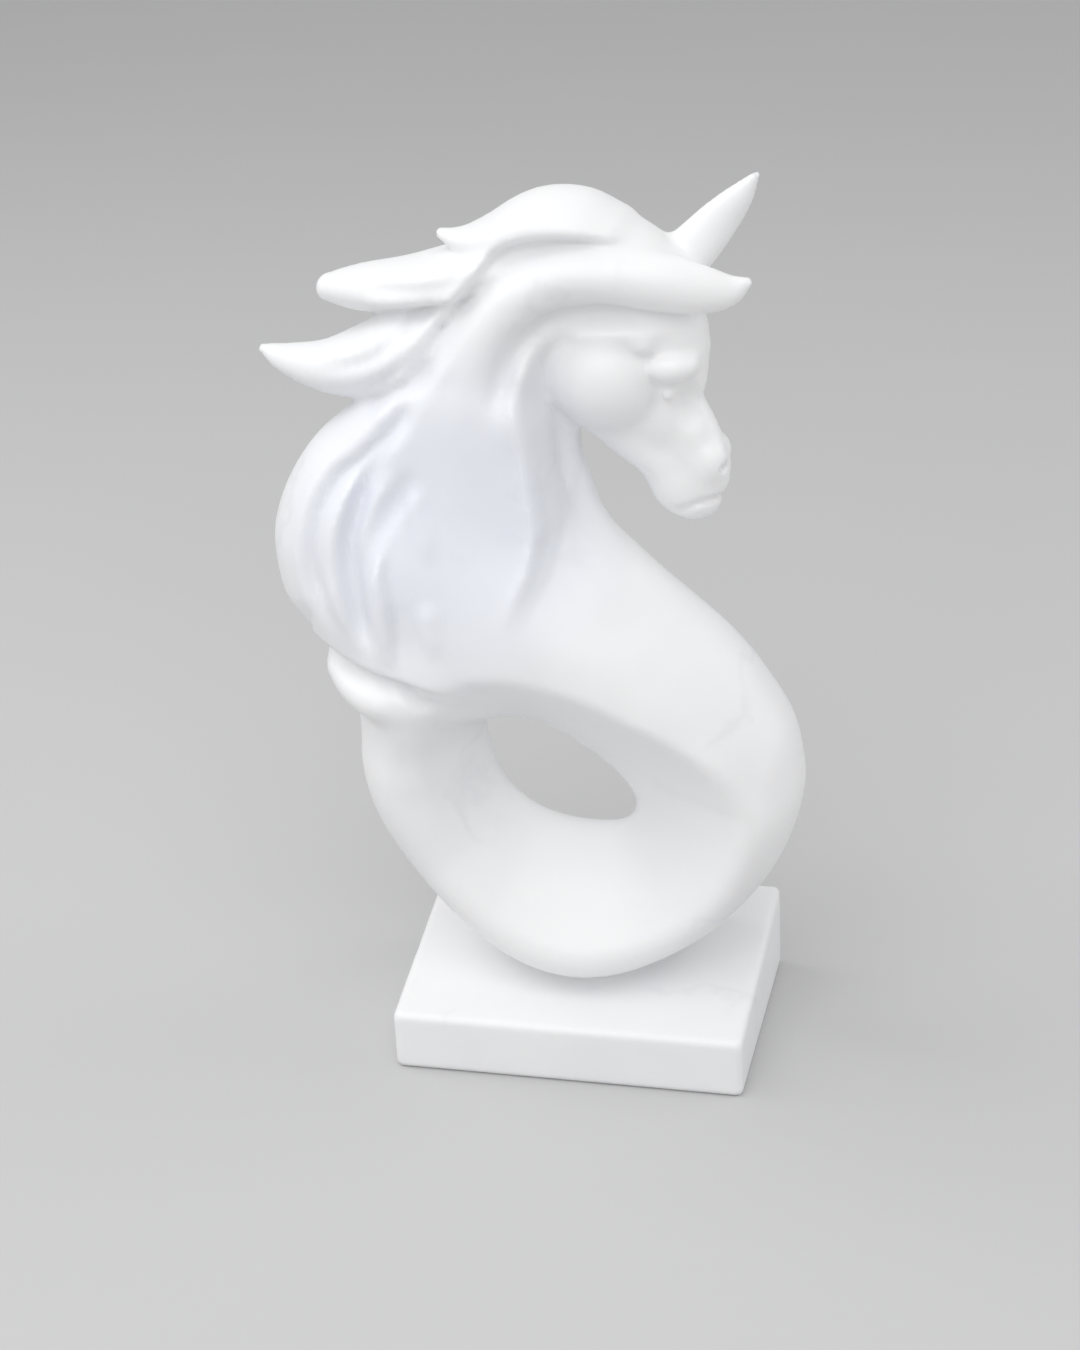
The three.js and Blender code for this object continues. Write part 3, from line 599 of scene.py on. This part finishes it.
# ---- materials ----
class Socket:
    """An output that can be added, subtracted and multiplied; each operation adds a Math node."""

    def __init__(self, shade, socket):
        self.shade = shade
        self.socket = socket

    def __add__(self, other):
        return self.shade.math("ADD", self, other)

    def __sub__(self, other):
        return self.shade.math("SUBTRACT", self, other)

    def __rsub__(self, other):
        return self.shade.math("SUBTRACT", other, self)

    def __mul__(self, other):
        return self.shade.math("MULTIPLY", self, other)

    __radd__ = __add__
    __rmul__ = __mul__


class Shade:
    """A material and its nodes."""

    def __init__(self, name):
        self.material = bpy.data.materials.new(name)
        self.material.use_nodes = True
        self.tree = self.material.node_tree
        self.surface = self.tree.nodes["Principled BSDF"]
        self.place = self.node("ShaderNodeTexCoord", {}, {}, "Object")

    def feed(self, node, sockets):
        for name, value in sockets.items():
            if isinstance(value, Socket):
                self.tree.links.new(value.socket, node.inputs[name])
            else:
                node.inputs[name].default_value = value

    def node(self, kind, settings, sockets, output=0):
        node = self.tree.nodes.new(kind)
        for name, value in settings.items():
            setattr(node, name, value)
        self.feed(node, sockets)
        return Socket(self, node.outputs[output])

    def math(self, operation, a, b):
        return self.node("ShaderNodeMath", {"operation": operation}, {0: a, 1: b})

    def noise(self, scale, detail):
        sockets = {"Vector": self.place, "Scale": scale, "Detail": detail}
        return self.node("ShaderNodeTexNoise", {}, sockets)

    def rise(self, value, low, high):
        """From 0 to 1 as the value goes from low to high, which may also run downwards."""
        limits = {"Value": value, "From Min": low, "From Max": high}
        return self.node("ShaderNodeMapRange", {"interpolation_type": "SMOOTHSTEP"}, limits)

    def blend(self, share, a, b):
        return self.node("ShaderNodeMix", {"data_type": "RGBA"}, {"Factor": share, 6: a, 7: b}, 2)


STONE = (0.915, 0.918, 0.925, 1)
CLOUD = (0.865, 0.873, 0.892, 1)
COOL = (0.83, 0.86, 0.95, 1)
VEIN = (0.74, 0.755, 0.79, 1)
COOL_MIDDLE = Vector((-0.045, -0.045, 0.262))  # the colour turns cooler and a little darker round this point on the flat of the neck
COOL_REACH = (0.1, 0.02)
FLOOR_TONES = ((0.57, 0.57, 0.575, 1), (0.59, 0.59, 0.59, 1))


def make_marble():
    shade = Shade("white marble")
    clouds = shade.noise(13.0, 5.0)
    grain = shade.noise(420.0, 2.0)
    ripple = shade.noise(55.0, 2.0)
    winding = shade.noise(7.5, 6.0) - 0.53
    from_line = shade.node("ShaderNodeMath", {"operation": "ABSOLUTE"}, {0: winding})
    vein = shade.rise(from_line, 0.018, 0.0) * shade.rise(clouds, 0.48, 0.62)
    from_neck = shade.node("ShaderNodeMapping", {}, {"Vector": shade.place, "Location": -COOL_MIDDLE})
    away = shade.node("ShaderNodeVectorMath", {"operation": "LENGTH"}, {0: from_neck}, "Value")
    cool = shade.rise(away, *COOL_REACH)
    color = shade.blend(shade.rise(clouds, 0.35, 0.7) * 0.7, STONE, CLOUD)
    color = shade.blend(cool * 0.75, color, COOL)
    color = shade.blend(vein * 0.3, color, VEIN)
    bump = {"Height": ripple + grain * 0.12, "Strength": 0.25, "Distance": 0.0006}
    shade.feed(shade.surface, {
        "Base Color": color,
        "Roughness": 0.3 + clouds * 0.14 + grain * 0.06,
        "Normal": shade.node("ShaderNodeBump", {}, bump),
        "IOR": 1.48,
        "Subsurface Weight": 0.12,
        "Subsurface Radius": (1.0, 0.9, 0.8),
        "Subsurface Scale": 0.004,
    })
    return shade.material


def make_floor_paint():
    shade = Shade("pale floor")
    patches = shade.noise(3.0, 3.0)
    shade.feed(shade.surface, {
        "Base Color": shade.blend(patches, *FLOOR_TONES),
        "Roughness": 0.72 + patches * 0.12,
    })
    return shade.material


horse = make_sculpture()
horse.data.materials.append(make_marble())
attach(horse, "root")
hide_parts("horse_sculpture")


# ---- the stage ----
# Lamps: bearing and height in degrees, seen from the front; distance and size in metres; watts.
LAMPS = {
    "front": {"bearing": 0, "height": 50, "away": 2.0, "size": 2.0, "energy": 19.0},
    "left": {"bearing": -90, "height": 45, "away": 2.0, "size": 1.5, "energy": 10.5},
    "right": {"bearing": 110, "height": 20, "away": 1.8, "size": 1.2, "energy": 4.5},
}
SKY_STRENGTH = 0.59
FLOOR_SIZE = 8
LENS = 69.25
CAMERA_PLACE = Vector((0.240964, -1.011315, 0.655691))
CAMERA_RIGHT = Vector((0.972773, 0.226837, -0.047514))
CAMERA_UP = Vector((-0.053319, 0.418560, 0.906622))


def make_floor():
    bpy.ops.mesh.primitive_plane_add(size=FLOOR_SIZE)
    floor = bpy.context.object
    floor.name = "floor"
    floor.data.materials.append(make_floor_paint())


def make_light(name, bearing, height, away, size, energy):
    """A soft square lamp aimed at the middle of the sculpture."""
    light = bpy.data.lights.new(name, "AREA")
    light.size = size
    light.energy = energy
    lamp = bpy.data.objects.new(name, light)
    bpy.context.collection.objects.link(lamp)
    turn, tilt = np.radians(bearing), np.radians(height)
    outward = Vector((np.sin(turn) * np.cos(tilt), -np.cos(turn) * np.cos(tilt), np.sin(tilt)))
    lamp.location = Vector((0, 0, HEIGHT * MM / 2)) + away * outward
    lamp.rotation_euler = outward.to_track_quat("Z", "Y").to_euler()


def make_camera():
    camera = bpy.data.cameras.new("camera")
    camera.lens = LENS
    holder = bpy.data.objects.new("camera", camera)
    bpy.context.collection.objects.link(holder)
    columns = (CAMERA_RIGHT, CAMERA_UP, CAMERA_RIGHT.cross(CAMERA_UP), CAMERA_PLACE)
    rows = [[column[n] for column in columns] for n in range(3)]
    holder.matrix_world = Matrix((*rows, (0, 0, 0, 1)))
    bpy.context.scene.camera = holder


def make_sky():
    world = bpy.data.worlds.new("studio")
    world.use_nodes = True
    background = world.node_tree.nodes["Background"]
    background.inputs["Color"].default_value = (1, 1, 1, 1)
    background.inputs["Strength"].default_value = SKY_STRENGTH
    bpy.context.scene.world = world
    bpy.context.scene.view_settings.view_transform = "Standard"


make_floor()
for lamp_name, settings in LAMPS.items():
    make_light(lamp_name, **settings)
make_sky()
make_camera()
